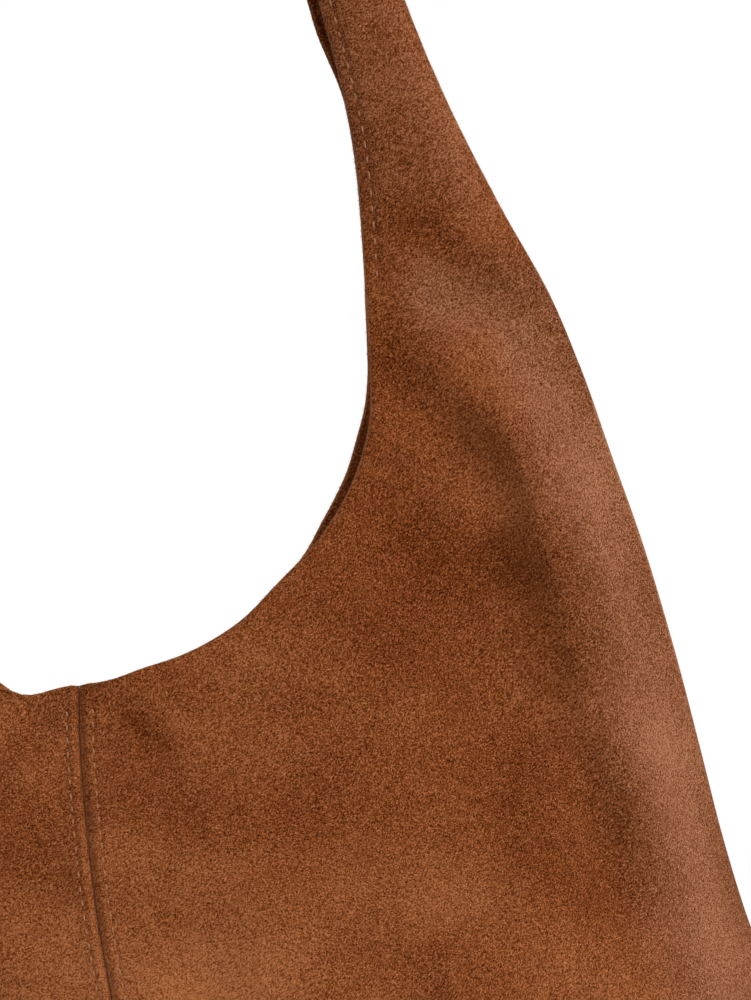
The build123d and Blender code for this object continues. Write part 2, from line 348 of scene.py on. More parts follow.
def thick_sheet(name, p, thickness, outward, lip=1.0):
    """Closed sheet whose outside is the grid p, with a rounded edge that is marked raw for its material."""
    n = outward_normals(p, outward)
    t = np.broadcast_to(np.asarray(thickness, float), p.shape[:2])[..., None]
    q = p - n * t
    rows, cols = p.shape[:2]
    ring = [(r, 0) for r in range(rows)]
    ring += [(rows - 1, c) for c in range(1, cols)]
    ring += [(r, cols - 1) for r in range(rows - 2, -1, -1)]
    ring += [(0, c) for c in range(cols - 2, 0, -1)]
    rr, cc = np.array(ring).T
    index = np.arange(rows * cols).reshape(rows, cols)
    quads = np.stack([index[:-1, :-1], index[:-1, 1:], index[1:, 1:], index[1:, :-1]], -1).reshape(-1, 4)
    verts = [p.reshape(-1, 3), q.reshape(-1, 3)]
    faces = [quads, quads[:, ::-1] + rows * cols]
    nn = n[rr, cc]
    out = square_to(unit(p[rr, cc] - p[np.clip(rr, 1, rows - 2), np.clip(cc, 1, cols - 2)]), nn)
    mid = (p[rr, cc] + q[rr, cc]) / 2
    last = index[rr, cc]
    for k in range(1, EDGE_STEPS + 1):
        if k < EDGE_STEPS:
            a = math.pi * k / EDGE_STEPS
            verts.append(mid + t[rr, cc] / 2 * (nn * math.cos(a) + out * math.sin(a) * lip))
            here = 2 * rows * cols + (k - 1) * len(ring) + np.arange(len(ring))
        else:
            here = index[rr, cc] + rows * cols
        faces.append(np.stack([last, np.roll(last, -1), np.roll(here, -1), here], 1))
        last = here
    obj = make_mesh(name, np.concatenate(verts), np.concatenate(faces))
    fix_normals(obj)
    set_attribute(obj, "raw", np.arange(len(obj.data.vertices)) >= 2 * rows * cols)
    return obj


def fix_normals(obj):
    """Turns a closed mesh's faces outward."""
    bm = bmesh.new()
    bm.from_mesh(obj.data)
    bmesh.ops.recalc_face_normals(bm, faces=bm.faces)
    bm.to_mesh(obj.data)
    bm.free()
    obj.data.shade_smooth()


# -------- shell quarters
ROW_STEP = 2.2
OUTER_COLUMNS = 70
# distances of the close columns by the inner edge
FINE_COLUMNS = np.array([0, 0.5, 1.0, 1.6, 2.3, 3.0, 3.6, 4.0, 4.4, 5.0, 5.8, 7.0, 8.6, 10.4])
FINE_ZONE = 12.0  # how far they reach, less where the quarter is narrower than FINE_FROM
FINE_FROM = 85.0
CORNER_SIDE = 232.0  # height on the side of the row that starts at the top of the seam
SIDE_INSET = 2.2  # how far an inner layer's side is in from the outline, for each unit of its inset
SEAM_GAP = 0.4  # from the seam's middle to each half
TOPSTITCH = 4.0  # from the seam to its stitches
STRAP_STITCH = 3.6  # from the strap's inner side to its stitches


def quarter_grid(side, front, rim=RIM, strap=True, low=2.0, inset=0.0, gap=0.0, drift=True):
    """One quarter's points (x, z), place across, distance from the inner edge and rows on the centre seam."""
    top = rim[0][1]
    seam_z = [z for z in (low, 20, 55, 105, 150, 200, 240) if z < top - 12] + [top]
    corner = len(seam_z) - 1
    inner = [(side * seam_x(z, front) * drift, z) for z in seam_z] + list(rim[1:])
    outer_z = [low + (CORNER_SIDE - low) * (z - low) / (top - low) for z in seam_z]
    outer_z += list(np.linspace(CORNER_SIDE, BODY_TOP, len(rim))[1:])
    outer = [(outline_x(z) - SIDE_INSET * inset, z) for z in outer_z]
    if strap:
        inner += STRAP_INNER
        outer += [(outline_x(z), z) for z in STRAP_FOOT]
        outer += STRAP_OUTER
    inner = np.array(inner, float)
    outer = np.array(outer, float)
    rows = []
    lengths = np.hypot(*(np.diff((inner + outer) / 2, axis=0).T))
    for i, length in enumerate(lengths):
        count = max(2, int(round(length / ROW_STEP)))
        rows += [i + k / count for k in range(count)]
    rows = np.array(rows + [len(inner) - 1.0])
    knots = np.arange(len(inner), dtype=float)
    on_seam = rows <= corner

    def edge(values):
        lower = hermite(knots[:corner + 1], values[:corner + 1], rows)
        upper = hermite(knots[corner:], values[corner:], rows)
        return np.where(on_seam, lower, upper)

    xi, zi = edge(inner[:, 0]), edge(inner[:, 1])
    xo = hermite(knots, outer[:, 0], rows)
    zo = hermite(knots, outer[:, 1], rows)
    xo = np.where(zo < STRAP_BEND, outline_x(zo) - SIDE_INSET * inset, xo)
    width = np.hypot(xo - xi, zo - zi)
    reach = np.minimum(1, width / FINE_FROM)[:, None]
    t = np.linspace(0, 1, OUTER_COLUMNS + 1)
    coarse = FINE_ZONE * reach + (width[:, None] - FINE_ZONE * reach) * (1 - (1 - t) ** 1.6)
    dist = np.concatenate([FINE_COLUMNS * reach, coarse], 1)
    dist = gap + dist * ((width - gap) / width)[:, None]
    share = dist / width[:, None]
    x = xi[:, None] + (xo - xi)[:, None] * share
    z = zi[:, None] + (zo - zi)[:, None] * share
    return side * x, z, share, dist, np.repeat(on_seam[:, None], dist.shape[1], 1)


def rim_lift(x, z, front):
    """Rise of the sewn rim above its plain line, fading away below it; it sags left of the seam."""
    rise = 1.1 * np.exp(-((x - 19.0) / 9.0) ** 2) - 6.3 * np.exp(-((x + 19.0) / 11.0) ** 2)
    rise = rise - (0.0 if front else BACK_RIM_DROP)
    below = np.maximum(curve(RIM, np.abs(x)) - z, 0)
    return rise * np.exp(-(below / 22.0) ** 2) * smooth(215, 262, z) * (1 - smooth(296, 330, z))


def hump(dist, middle, width):
    """1 at a distance from the inner edge, fading to both sides of it."""
    return np.exp(-((dist - middle) / width) ** 2)


def skin(side, front):
    """Outside points of one shell quarter with its half of the strap."""
    x, z, share, dist, on_seam = quarter_grid(side, front, gap=SEAM_GAP)
    z = z + rim_lift(x, z, front)
    y = depth(x, z, front, across=share)
    seam = on_seam * smooth(2, 14, z)
    y = y + 0.55 * seam * np.exp(-(dist / 5.2) ** 6)  # the allowance folded back behind it
    y = y - 0.5 * seam * hump(dist, TOPSTITCH, 0.8)
    y = y - 1.3 * seam * hump(dist, 0, 1.5)
    y = y + 0.4 * ~on_seam * hump(dist, 2.6, 2.6) * (1 - smooth(345, 380, z))  # the turned rim
    y = y - 0.4 * smooth(380, 400, z) * hump(dist, STRAP_STITCH, 0.8)
    # keeps the strap's two halves apart where they meet at its top
    x = x + np.where(x >= 0, 1, -1) * 1.25 * smooth(560, 572, z) * np.exp(-(x / 4.0) ** 2)
    if not front:
        # the back layer shows past the front one on the strap and at the mouth's corner
        peek = 3.2 * smooth(448, 474, z) * (1 - smooth(540, 575, z))
        peek = peek + 2.1 * smooth(300, 318, z) * (1 - smooth(338, 366, z))
        x = x - side * peek * hump(dist, 0, 14.0)
    return np.stack([x, -y if front else y, z], -1), dist, on_seam


SKINS = {}
for front, face in ((True, "front"), (False, "back")):
    for side, hand in ((1, "right"), (-1, "left")):
        p, dist, on_seam = skin(side, front)
        in_strap = smooth(350, 395, p[..., 2])
        thickness = SHELL + (STRAP_SKIN - SHELL) * in_strap
        room = np.maximum(np.abs(p[..., 1]) - 0.15, 0.6)
        thickness = np.where(in_strap > 0.3, np.minimum(thickness, room), thickness)
        outward = p * np.array([0, 1, 0])
        obj = thick_sheet(f"suede_{face}_{hand}", p, thickness, outward, lip=0.9)
        SKINS[face, hand] = {
            "obj": obj, "points": p, "normals": outward_normals(p, outward), "dist": dist,
            "on_seam": on_seam[:, 0], "thickness": thickness,
        }
        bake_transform(obj)
        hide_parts(f"{face}_panel_{hand}", f"strap_{face}_{hand}")
        if front:
            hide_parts(f"strap_root_{hand}")


# -------- facing and lining
FACING = 1.0  # thickness of the facing's suede
FACING_WIDTH = 42.5  # from the rim to the facing's lower edge
CLOTH = 0.6  # thickness of the lining's cloth
BOARD_TOP = 5.2  # top of the base board
HALF_GAP = 0.35  # between two quarters of the lining, on each side of the middle
MOUTH_MIDDLE = (0, 345)  # the rim spreads away from this point, (x, z)


def spread_rim(margin):
    """The rim's line moved outward by a margin, right half."""
    rim = np.array(RIM, float)
    return rim + unit(rim - MOUTH_MIDDLE) * margin


def facing_points(front):
    """Outside points of a facing: across the rim by down from it."""
    knots = np.arange(len(RIM), dtype=float)
    fine = np.linspace(0, len(RIM) - 1, 60)
    grid = []
    for share in (0, 0.06, 0.15, 0.3, 0.45, 0.6, 0.75, 0.88, 0.95, 1.0):
        line = spread_rim(share * FACING_WIDTH + 1.0)
        x, z = hermite(knots, line[:, 0], fine), hermite(knots, line[:, 1], fine)
        x, z = np.concatenate([-x[:0:-1], x]), np.concatenate([z[:0:-1], z])
        z = z + rim_lift(x, z, front) - 0.4
        y = depth(x, z, front, FACING_IN)
        grid.append(np.stack([x, -y if front else y, z], -1))
    return np.array(grid)


def cloth_wrinkles(x, z, seed, size):
    """Soft creases of loose cloth, 0 to size."""
    return size * np.clip(0.5 + 0.5 * undulation(x, z, seed, 16, 44, 10), 0, 1.3)


def lining_points(front, side):
    """Outside points of one quarter of the lining: its floor, then its wall up to the facing."""
    top = [tuple(v) for v in spread_rim(FACING_WIDTH - 7.5)]
    x, z, *_ = quarter_grid(side, front, top, False, BOARD_TOP + 0.4, LINING_IN, HALF_GAP, False)
    y = depth(x, z, front, LINING_IN + 0.1) - cloth_wrinkles(x, z, 31 if front else 37, 1.3)
    if not front:
        to_zip = smooth(172, 190, z) * (1 - smooth(222, 238, z)) * (1 - smooth(92, 112, np.abs(x)))
        behind_zip = ZIP_MIDDLE[0] - (z - ZIP_MIDDLE[1]) * ZIP_SLOPE + 3.4
        y = y + (np.minimum(y, behind_zip) - y) * to_zip
    wall = np.stack([x, np.maximum(y, HALF_GAP), z], -1)
    floor_rows = []
    for k in np.linspace(0, 1, 10)[:-1]:
        row = wall[0].copy()
        row[:, 1] = row[:, 1] * k + HALF_GAP * (1 - k)
        row[:, 2] = BOARD_TOP + 0.5 * k + 0.35 * undulation(row[:, 0], row[:, 1], 41, 30, 60, 6)
        floor_rows.append(row)
    whole = np.concatenate([np.array(floor_rows), wall], 0)
    return whole * np.array([1, -1 if front else 1, 1])


def stand_for(obj, node):
    """A piece of the bag's body that takes the place of one CAD node."""
    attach(obj, "bag")
    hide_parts(node)
    return obj


def grid_sheet(name, p, thickness, outward_y, node):
    """A rounded sheet that takes the place of one CAD node."""
    return stand_for(thick_sheet(name, p, thickness, (0, outward_y, 0)), node)


FACINGS = []
FACING_GRIDS = []
LININGS = []
for front, face, sign in ((True, "front", -1), (False, "back", 1)):
    p = facing_points(front)
    FACING_GRIDS.append((p, -sign))
    FACINGS.append(grid_sheet(f"facing_strip_{face}", p, FACING, sign, f"facing_{face}"))
    for side, hand in ((1, "right"), (-1, "left")):
        p = lining_points(front, side)
        quarter = grid_sheet(f"lining_{face}_{hand}", p, CLOTH, sign, f"lining_{face}")
        LININGS.append(quarter)


def pocket_points():
    """Outside points of the open slip pocket: up from its foot by across. Its top droops and stands off."""
    half, foot, top = 69.0, 121.0, 195.5
    x, z = np.meshgrid(np.linspace(-half, half, 60), np.linspace(foot, top, 40))
    droop = np.sin(np.pi * (x + half) / (2 * half)) ** 0.8 * smooth(135, top - 0.5, z)
    hem = smooth(184, 185.5, z)
    z = z - 2.6 * droop
    y = depth(x, z, True, LINING_IN + 2.0) - 2.3 * droop - cloth_wrinkles(x, z, 43, 0.7)
    return np.stack([x, 0.25 * hem - y, z], -1)


slip = pocket_points()
slip_cloth = grid_sheet("slip_pocket_cloth", slip, CLOTH, -1, "slip_pocket")
x, z = np.meshgrid(np.linspace(-84, 84, 44), np.linspace(106, 190, 24))
hidden = np.stack([x, depth(x, z, False, 2.4), z], -1)
hidden_bag = grid_sheet("zip_pocket_cloth", hidden, 1.0, 1, "zip_pocket_bag")
LININGS += [slip_cloth, hidden_bag]


# -------- turned and padded small pieces
def lathe(name, profile, centre, turns=48):
    """Solid of revolution about a line that points forward: profile is (radius, distance forward)."""
    angles = np.linspace(0, 2 * np.pi, turns, endpoint=False)
    circle = np.stack([np.cos(angles), 0 * angles, np.sin(angles)], 1)
    verts = [np.array(centre) + r * circle - np.array([0, h, 0]) for r, h in profile]
    obj = make_mesh(name, np.concatenate(verts), ring_faces(turns, len(profile)))
    fix_normals(obj)
    return obj


def oval(half_w, half_d, count=160):
    """Pointed oval outline of the base, counter-clockwise."""
    s = np.sin(np.linspace(-math.pi / 2, math.pi / 2, count // 2, endpoint=False))
    front = np.stack([half_w * s, -half_d * (1 - s * s) ** BULGE], 1)
    return np.concatenate([front, -front])


BASE_HALF = (160.5, 56.0)  # half the base's width and depth


def base_mesh():
    """The base panel: rings from the middle of its top over its rounded edge to the middle of its underside."""
    rings = []
    for inset, z in ((60, 2.0), (20, 1.9), (6, 1.9), (1.2, 1.8), (0.3, 1.3), (0.0, 0.9), (0.5, 0.3), (1.6, 0.0),
                     (8, 0.0), (30, 0.0)):
        outline = oval(BASE_HALF[0] - 1.6 * inset, BASE_HALF[1] - 0.9 * inset)
        rings.append(np.concatenate([outline, np.full((len(outline), 1), z)], 1))
    obj = make_mesh("suede_base", np.concatenate(rings), ring_faces(len(rings[0]), len(rings)))
    fix_normals(obj)
    return obj


base = stand_for(base_mesh(), "base_panel")

# closure strip: from the back facing over to the magnet on the front, (y, z) along its middle
STRIP_PATH = (
    (23.5, 243.5), (22.6, 248.0), (20.6, 252.6), (17.0, 255.4), (11.0, 256.6), (2.0, 256.8), (-7.0, 256.4),
    (-12.5, 255.0), (-15.6, 251.6), (-16.8, 247.0), (-17.1, 241.0), (-17.1, 232.0), (-17.1, 224.6),
)
STRIP_WIDTH = (13.6, 13.6, 12.6, 10.6, 9.6, 9.4, 9.8, 11.4, 13.4, 14.0, 14.0, 14.0, 9.5)
STRIP_END = 14.0  # half its width where its rounded end starts, at the last point but one
STRIP = 1.7  # its thickness


def closure_points():
    """Outside points of the closure strip: along it by across it."""
    tip = len(STRIP_PATH) - 2.0
    knots = np.arange(len(STRIP_PATH), dtype=float)
    at = np.concatenate([np.linspace(0, tip, 56), tip + 1 - (1 - np.linspace(0, 1, 14)[1:]) ** 1.8])
    y, z = (hermite(knots, values, at) for values in np.transpose(STRIP_PATH))
    end = np.clip(at - tip, 0, 1)
    half = np.where(end > 0, STRIP_END * (1 - end ** 2.4 * 0.42), hermite(knots, STRIP_WIDTH, at))[:, None]
    x = np.sin(np.linspace(-1, 1, 25) * math.pi / 2) * half
    crown = 0.35 * (1 - (x / half) ** 2)
    dy, dz = np.gradient(y), np.gradient(z)
    up_y, up_z = np.stack([dz, -dy])[..., None] / np.hypot(dy, dz)[:, None]
    return np.stack([x, y[:, None] + up_y * crown, z[:, None] + up_z * crown], -1)


strip_grid = closure_points()
closure = thick_sheet("closure_strip", strip_grid, STRIP, (0, 0, 1))
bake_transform(closure)
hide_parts("closure_tab", "closure_tab_bridge", "closure_tab_root")

SNAP = (0.0, 0.0, SNAP_Z)
magnet = lathe("snap_magnet", (
    (2.9, 19.9), (3.1, 19.6), (3.6, 19.55), (6.9, 19.55), (7.4, 19.75), (7.7, 19.75), (8.2, 19.6), (8.7, 19.8),
    (9.0, 20.3), (9.0, 21.9), (8.7, 22.3), (3.0, 22.3), (2.9, 22.0)), SNAP)
mound = lathe("snap_mound", (
    (4.0, 22.0), (8.6, 22.15), (9.7, 22.4), (10.2, 23.0), (10.6, 24.0), (11.2, 25.4), (11.4, 26.2),
    (4.0, 26.3)), SNAP)
WALL_SLOPE = 0.33  # the front wall behind the magnet leans back this much for each unit up
MOUND_TOP, MOUND = 22.3, 3.9  # where the mound starts to lean with the wall, and how deep it is from there
co = points_of(mound)
co[:, 1] -= WALL_SLOPE * (SNAP_Z - co[:, 2]) * np.clip((-co[:, 1] - MOUND_TOP) / MOUND, 0, 1)
mound.data.vertices.foreach_set("co", (co * MM).astype(np.float32).ravel())
stand_for(magnet, "snap_socket")
stand_for(mound, "snap_socket_washer")


# -------- stitches
def track(key, distance, low, high, by_seam):
    """A skin's outside and normals at a distance from its inner edge, by the centre seam or past it."""
    skin = SKINS[key]
    p, dist = skin["points"], skin["dist"]
    line, normal = [], []
    for r in range(p.shape[0]):
        c = int(np.clip(np.searchsorted(dist[r], distance) - 1, 0, p.shape[1] - 2))
        t = (distance - dist[r, c]) / max(dist[r, c + 1] - dist[r, c], 1e-6)
        line.append(p[r, c] * (1 - t) + p[r, c + 1] * t)
        normal.append(skin["normals"][r, c])
    line, normal = np.array(line), np.array(normal)
    keep = (line[:, 2] >= low) & (line[:, 2] <= high) & (skin["on_seam"] == by_seam)
    return line[keep], normal[keep]


STITCH_SHARE = 0.46  # how much of each stitch's pitch the thread shows
THREADS = []


def stitches(name, runs, pitch, radius, body=None):
    """One mesh of thread stitches along runs of (line, normals)."""
    verts, faces = [], []
    sides = 6
    angles = np.linspace(0, 2 * np.pi, sides, endpoint=False)
    # place along the stitch, height over the leather and fatness, both in radii
    places, heights, fatness = np.array((
        (0.0, -0.9, 0.6), (0.08, 0.1, 0.9), (0.3, 0.75, 1.05), (0.5, 0.95, 1.1), (0.7, 0.75, 1.05),
        (0.92, 0.1, 0.9), (1.0, -0.9, 0.6))).T
    pattern = ring_faces(sides, len(places))
    for line, normal in runs:
        s = length_along(line)
        for i in range(int(s[-1] / pitch)):
            wander = rng.uniform(-0.07, 0.07, 2)
            sunk = 0.3 * rng.uniform() ** 2  # some stitches lie deeper in the nap
            first = (i + 0.5 * (1 - STITCH_SHARE) + wander[0]) * pitch
            at = np.clip(first + places * STITCH_SHARE * pitch * (1 + wander[1]), 0, s[-1])
            c, n = read_along(at, s, line), unit(read_along(at, s, normal))
            b = unit(np.cross(unit(np.gradient(c, axis=0) + 1e-9), n))
            c = c + n * (heights * radius - sunk)[:, None]
            circle = np.cos(angles)[None, :, None] * n[:, None] + np.sin(angles)[None, :, None] * b[:, None]
            faces += [[len(verts) * len(places) * sides + k for k in face] for face in pattern]
            verts.append((c[:, None] + (radius * fatness)[:, None, None] * circle).reshape(-1, 3))
    obj = make_mesh(name, np.concatenate(verts), faces)
    fix_normals(obj)
    if body:
        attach(obj, body)
    THREADS.append(obj)
    return obj


def length_along(line):
    """Distance along a line of points, from its first."""
    return np.concatenate([[0], np.cumsum(np.linalg.norm(np.diff(line, axis=0), axis=1))])


def read_along(at, s, values):
    """Vectors read at distances along a line whose points lie at distances s."""
    return np.stack([np.interp(at, s, values[:, k]) for k in range(3)], 1)


for face in ("front", "back"):
    runs = [track((face, hand), TOPSTITCH, 9, 263, True) for hand in ("right", "left")]
    stitches(f"thread_seam_{face}", runs, 4.4, 0.3, "bag")
    runs = [track((face, hand), STRAP_STITCH, 391, 700, False) for hand in ("right", "left")]
    stitches(f"thread_strap_{face}", runs, 5.1, 0.3, "strap")


def grid_run(p, thickness, outward):
    """A run along a line of points, moved by a sheet's thickness, with one normal all along."""
    normal = np.broadcast_to(unit(np.array(outward, float)), p.shape)
    return p + normal * thickness, normal


STRIP_EDGE = 4  # column of the closure strip that its stitches follow
strip_normals = outward_normals(strip_grid, (0, 0, 1))
runs = [(strip_grid[:, c], strip_normals[:, c]) for c in (STRIP_EDGE, -1 - STRIP_EDGE)]
strip_thread = stitches("thread_closure", runs, 3.4, 0.26)
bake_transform(strip_thread)
runs = [grid_run(p[row], FACING, (0, inward, 0)) for p, inward in FACING_GRIDS for row in (2, -2)]
stitches("thread_facing", runs, 3.6, 0.26, "bag")
runs = [grid_run(slip[row, 1:-1], CLOTH, (0, 1, 0)) for row in (-3, 1)]
runs += [grid_run(slip[1:-1, column], CLOTH, (0, 1, 0)) for column in (1, -2)]
stitches("thread_pocket", runs, 2.8, 0.2, "bag")
welt_low, welt_high = (np.array(v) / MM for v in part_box("zip_welt"))
WELT_BORDER = 1.6  # from the welt's edge in to its stitches
left, right = welt_low[0] + WELT_BORDER, welt_high[0] - WELT_BORDER
low, high = welt_low[2] + WELT_BORDER, welt_high[2] - WELT_BORDER
corners = np.array([(left, low), (right, low), (right, high), (left, high)])
runs = []
for a, b in zip(corners, np.roll(corners, -1, axis=0)):
    x, z = np.linspace(a, b, 60).T
    y = welt_low[1] + (welt_high[2] - z) * ZIP_SLOPE
    runs.append(grid_run(np.stack([x, y, z], 1), 0.0, (0, -1, -ZIP_SLOPE)))
stitches("thread_welt", runs, 2.8, 0.2, "bag")


# -------- nap on the cut edges
FIBRE = 0.07  # radius of a fibre at its root


def edge_of(key, column, inner, low):
    """Points, outward directions, normals and thickness along one side of a skin, above a height."""
    skin = SKINS[key]
    p, n = skin["points"], skin["normals"][:, column]
    out = square_to(unit(p[:, column] - p[:, inner]), n)
    keep = ~skin["on_seam"] & (p[:, column, 2] > low)
    return p[keep, column], out[keep], n[keep], skin["thickness"][keep, column]


def nap_edge(name, edges, per_mm):
    """Short fibres that stand out of cut edges, each a thin closed spike."""
    roots, tips = [], []
    for line, out, normal, thick in edges:
        s = length_along(line)
        at = rng.uniform(0, s[-1], int(s[-1] * per_mm))
        c, o, n = (read_along(at, s, v) for v in (line, out, normal))
        half = np.interp(at, s, thick)[:, None] / 2
        around = rng.uniform(0.05, 0.95, (len(at), 1)) * math.pi
        radial = n * np.cos(around) + o * np.sin(around)
        root = c - n * half + radial * half * 0.84
        roots.append(root)
        lean = unit(radial + rng.normal(0, 0.5, radial.shape))
        tips.append(root + lean * rng.uniform(0.3, 1.0, (len(at), 1)))
    roots, tips = np.concatenate(roots), np.concatenate(tips)
    direction = unit(tips - roots)
    u = unit(np.cross(direction, (0.3, 0.5, 0.8)))
    v = np.cross(direction, u)
    thirds = 2 * math.pi / 3 * np.arange(3)
    corners = [roots + FIBRE * (math.cos(a) * u + math.sin(a) * v) for a in thirds]
    verts = np.stack([*corners, tips], 1).reshape(-1, 3)
    first = 4 * np.arange(len(roots))[:, None]
    faces = np.concatenate([first + np.array(f) for f in ((0, 1, 3), (1, 2, 3), (2, 0, 3), (2, 1, 0))])
    obj = make_mesh(name, verts, faces)
    set_attribute(obj, "raw", np.full(len(verts), 1.2))
    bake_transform(obj)
    return obj


NAP_EDGES = []
for face in ("front", "back"):
    edges = [edge_of((face, hand), 0, 1, 0) for hand in ("right", "left")]
    edges += [edge_of((face, hand), -1, -2, 385) for hand in ("right", "left")]
    NAP_EDGES.append(nap_edge(f"nap_edge_{face}", edges, 4.0))


# -------- materials
def srgb(r, g, b):
    """Linear colour from 0-255 sRGB."""
    c = np.array([r, g, b], float) / 255
    lin = np.where(c <= 0.04045, c / 12.92, ((c + 0.055) / 1.055) ** 2.4)
    return (*lin.tolist(), 1.0)


class Nodes:
    """Short way to build a material's node tree. Its textures read the mesh's coordinates, in millimetres."""

    def __init__(self, name):
        self.mat = bpy.data.materials.new(name)
        self.mat.use_nodes = True
        self.tree = self.mat.node_tree
        self.shader = self.tree.nodes["Principled BSDF"]
        place = self.node("TexCoord").outputs["Object"]
        self.mm = self.node("Mapping", Vector=place, Scale=(1000, 1000, 1000)).outputs["Vector"]

    def put(self, socket, value):
        if isinstance(value, bpy.types.NodeSocket):
            self.tree.links.new(value, socket)
        else:
            socket.default_value = value

    def fill(self, node, inputs):
        for name, value in inputs.items():
            self.put(node.inputs[name.replace("_", " ")], value)
        return node

    def node(self, kind, **inputs):
        """A new node, with its inputs set, or linked where the value is a socket."""
        return self.fill(self.tree.nodes.new("ShaderNode" + kind), inputs)

    def stretch(self, sizes, turn=(0, 0, 0)):
        """Coordinates whose unit is sizes millimetres along turned axes."""
        node = self.node("Mapping", Vector=self.mm, Scale=sizes, Rotation=turn)
        node.vector_type = "TEXTURE"
        return node.outputs["Vector"]

    def noise(self, scale, detail=3.0, rough=0.5, vector=None, distortion=0.0):
        node = self.node("TexNoise", Vector=vector or self.mm, Scale=scale, Detail=detail, Roughness=rough,
                         Distortion=distortion)
        return node.outputs["Fac"]

    def math(self, kind, a, b=0.0, clamp=False):
        node = self.node("Math")
        node.operation = kind
        node.use_clamp = clamp
        self.put(node.inputs[0], a)
        self.put(node.inputs[1], b)
        return node.outputs["Value"]

    def clamped(self, value):
        return self.math("ADD", value, 0.0, clamp=True)

    def weigh(self, parts, start=0.5):
        """start plus the sum of (socket - 0.5) * weight."""
        total = start
        for socket, weight in parts:
            scaled = self.math("MULTIPLY", self.math("SUBTRACT", socket, 0.5), weight)
            total = self.math("ADD", scaled, total)
        return total

    def ramp(self, fac, stops):
        node = self.node("ValToRGB", Fac=fac)
        elements = node.color_ramp.elements
        elements[0].position, elements[0].color = stops[0]
        elements[1].position, elements[1].color = stops[-1]
        for place, colour in stops[1:-1]:
            elements.new(place).color = colour
        return node.outputs["Color"]

    def mix(self, share, a, b):
        node = self.node("Mix")
        node.data_type = "RGBA"
        for i, value in ((0, share), (6, a), (7, b)):
            self.put(node.inputs[i], value)
        return node.outputs[2]

    def attribute(self, name):
        node = self.node("Attribute")
        node.attribute_name = name
        return node.outputs["Fac"]

    def bump(self, height, strength, distance):
        node = self.node("Bump", Strength=strength, Distance=distance * MM, Height=height)
        self.put(self.shader.inputs["Normal"], node.outputs["Normal"])

    def set(self, **values):
        self.fill(self.shader, values)
        return self.mat


PLAIN = (1.0, 1.0, 1.0, 1.0)
REDDER = (1.04, 0.95, 0.8, 1.0)  # how rubbed suede's colour differs
PAINTED_SHEEN_TINT = (0.97, 1.1, 1.42, 1.0)  # and how the painted sheen differs, paler and greyer, round the sides, over the strap's roots and on the strap


def suede_material(name, dark, mid, light):
    """Napped suede: short leaning fibres with dark gaps between, over a slow change of tone, with painted
    shade, highlight and sheen read from the mesh's attributes.
    """
    n = Nodes(name)
    broad = n.noise(0.022, 3, 0.55)
    patch = n.noise(0.16, 4, 0.6, distortion=0.6)
    brushed = n.noise(1.0, 3, 0.6, n.stretch((1.6, 1.6, 2.8), (0, 0.6, 0)), 0.4)
    fibre = n.noise(1.0, 2, 0.6, n.stretch((0.46, 0.46, 0.95), (0, 0.75, 0)), 0.35)
    grain = n.noise(1.0, 1.5, 0.6, n.stretch((0.32, 0.32, 0.55), (0, 0.75, 0)))
    tone = n.weigh([(broad, 0.35), (patch, 0.2), (brushed, 0.2), (fibre, 1.6), (grain, 1.9)], 0.52)
    # painted shade and highlight of the folds, with some brushed nap, from a mesh attribute
    tone = n.math("ADD", tone, n.math("MULTIPLY", n.attribute("nap_and_shade"), 0.26))
    tone = n.math("ADD", tone, n.math("MULTIPLY", n.attribute("raw"), 0.3), clamp=True)
    plain, rubbed, painted_sheen = (
        n.ramp(tone, [(place, np.multiply(colour, change).tolist())
                      for place, colour in ((0.05, dark), (0.5, mid), (0.95, light))])
        for change in (PLAIN, REDDER, PAINTED_SHEEN_TINT)
    )
    # painted sheen: a paler, greyer colour mixed in round the sides, over the strap's roots and on the strap
    colour = n.mix(n.attribute("painted_sheen"), n.mix(n.noise(0.03, 2, 0.5), plain, rubbed), painted_sheen)
    n.bump(n.weigh([(fibre, 1.4), (grain, 0.8), (brushed, 0.7), (patch, 0.4)]), 1.0, 0.8)
    return n.set(
        Base_Color=colour, Roughness=0.95, Specular_IOR_Level=0.03, Sheen_Weight=0.2, Sheen_Roughness=0.35,
        Sheen_Tint=srgb(226, 160, 122),
    )


suede = suede_material("suede_tan", srgb(60, 20, 2), srgb(128, 66, 29), srgb(184, 118, 76))
inside_suede = suede_material("suede_facing", srgb(58, 22, 5), srgb(120, 64, 32), srgb(180, 118, 78))


def cloth_material(name, dark, light, pitch=0.55):
    """Twill cloth: fine diagonal ribs with uneven yarns."""
    n = Nodes(name)
    wave = n.node("TexWave", Vector=n.mm, Scale=0.31 / pitch, Distortion=0.35, Detail_Scale=2.0)
    wave.bands_direction = "DIAGONAL"
    ribs = wave.outputs["Fac"]
    yarn = n.noise(0.9, 3, 0.6, n.stretch((2.0, 2.0, 0.45)))
    broad = n.noise(0.03, 3, 0.5)
    tone = n.clamped(n.weigh([(ribs, 0.34), (yarn, 0.6), (broad, 0.35)]))
    n.bump(n.weigh([(ribs, 1.0), (yarn, 0.6)]), 0.5, 0.22)
    return n.set(Base_Color=n.ramp(tone, [(0.1, dark), (0.9, light)]), Roughness=0.85, Specular_IOR_Level=0.2,
                 Sheen_Weight=0.15, Sheen_Roughness=0.5)


def metal_material(name, colour, worn, rough=0.34):
    """Cast or turned metal with small scratches and duller patches."""
    n = Nodes(name)
    patch = n.noise(0.5, 4, 0.6)
    scratch = n.noise(2.5, 4, 0.7, n.stretch((0.25, 2.5, 2.5), (0, 0.4, 0.2)))
    tone = n.weigh([(patch, 0.7), (scratch, 0.5)])
    n.bump(scratch, 0.12, 0.05)
    roughness = n.weigh([(patch, 0.25), (scratch, 0.2)], rough)
    return n.set(Base_Color=n.ramp(tone, [(0.2, worn), (0.75, colour)]), Metallic=1.0, Roughness=roughness)


